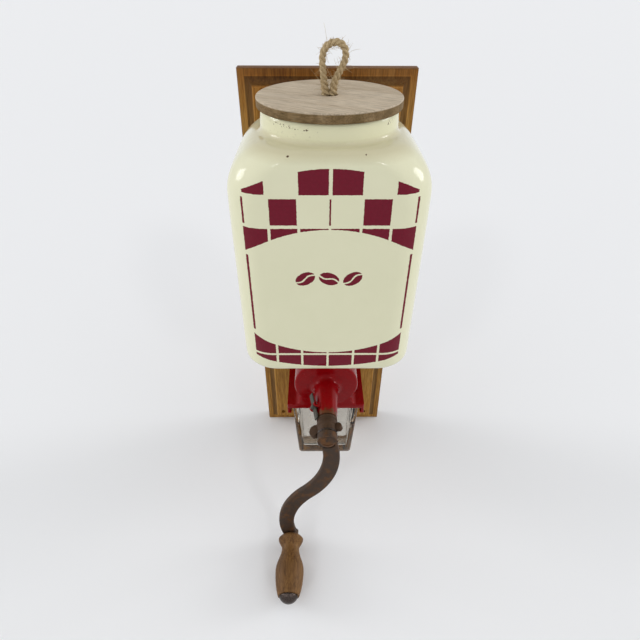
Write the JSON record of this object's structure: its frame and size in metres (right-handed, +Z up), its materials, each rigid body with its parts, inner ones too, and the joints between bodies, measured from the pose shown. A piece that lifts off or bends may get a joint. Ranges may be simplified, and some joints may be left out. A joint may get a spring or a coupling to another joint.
{
  "type": "wall mounted coffee mill",
  "caption": "Wall coffee mill: ceramic bean hopper on an oak board, enamelled cast mill with an S-shaped crank, wooden grip, grind nut and glass cup.",
  "frame": {"origin": "on the wall plane, at the centre of the backboard's four wall screw holes", "axes": "+Z up along the board, +Y into the wall, the front with the crank faces -Y, +X to the viewer's right"},
  "size_m": [0.122, 0.2069, 0.3769],
  "materials": {
    "oak_board": "oiled oak, worn",
    "cream_glaze": "gloss cream glaze with dark red stencilled checks",
    "grey_oak": "dry weathered oak",
    "jute": "twisted jute cord",
    "cork": "pressed cork",
    "leather": "vegetable tanned leather",
    "red_enamel": "gloss red stove enamel on cast iron",
    "screw_steel": "plain steel",
    "burr_iron": "hardened iron",
    "shaft_steel": "drawn bar",
    "bronze": "turned bronze",
    "lever_steel": "worn paint on spring steel",
    "rusted_iron": "dark iron with rust",
    "turned_beech": "stained and handled beech",
    "cap_steel": "tarnished steel",
    "clear_glass": "pressed glass"
  },
  "bodies": {
    "stand": {"backboard": "oak_board", "hopper": "cream_glaze", "hopper_gasket": "cork", "hopper_screws": "screw_steel", "hopper_washers": "leather", "mill_body": "red_enamel", "body_screws": "screw_steel", "bearing_plate": "burr_iron", "plate_screws": "screw_steel", "ring_burr": "burr_iron", "ring_screws": "screw_steel", "front_bush": "bronze", "lock_pin": "screw_steel", "shaft_spring": "screw_steel"},
    "lid": {"lid_disc": "grey_oak", "lid_plug": "grey_oak", "lid_pins": "screw_steel", "lid_loop": "jute", "lid_knot": "jute"},
    "thrust": {"thrust_washer": "screw_steel"},
    "adjuster": {"adjusting_nut": "rusted_iron"},
    "crank": {"drive_shaft": "shaft_steel", "cone_burr": "burr_iron", "feed_screw": "burr_iron", "drive_pin": "screw_steel", "crank_arm": "rusted_iron", "crank_screw": "rusted_iron", "grip_spindle": "screw_steel", "grip_washer": "screw_steel", "grip_cap": "cap_steel"},
    "grip": {"grip": "turned_beech"},
    "lever": {"lock_lever": "lever_steel"},
    "glass": {"catch_glass": "clear_glass"}
  },
  "joints": [
    {"name": "lid_lift", "type": "slide", "parent": "stand", "child": "lid", "axis": [0, 0, 1], "range_m": [0, 0.05]},
    {"name": "shaft_shift", "type": "slide", "parent": "stand", "child": "thrust", "axis": [0, -1, 0], "range_m": [-0.00038, 0.00075], "deforming": ["shaft_spring"]},
    {"name": "adjuster_turn", "type": "hinge", "parent": "thrust", "child": "adjuster", "pos_m": [0, -0.137, -0.0343], "axis": [0, -1, 0], "range_deg": [-92, 182]},
    {"name": "crank_spin", "type": "hinge", "parent": "thrust", "child": "crank", "pos_m": [0, -0.148, -0.0343], "axis": [0, -1, 0], "continuous": true},
    {"name": "grip_spin", "type": "hinge", "parent": "crank", "child": "grip", "pos_m": [-0.03014, -0.1765, -0.16487], "axis": [0, -1, 0], "continuous": true},
    {"name": "lock_lever_lift", "type": "hinge", "parent": "stand", "child": "lever", "pos_m": [-0.00961, -0.123, -0.02982], "axis": [-0.4226, 0, -0.9063], "range_deg": [0, 6], "stiffness_Nm_per_rad": 0.02, "springref_deg": -5.73},
    {"name": "glass_slide", "type": "slide", "parent": "stand", "child": "glass", "axis": [0, -1, 0], "range_m": [0, 0.045]}
  ],
  "couplings": [
    {"joint": "adjuster_turn", "follows": "shaft_shift", "rad_per_m": 4188.8}
  ]
}
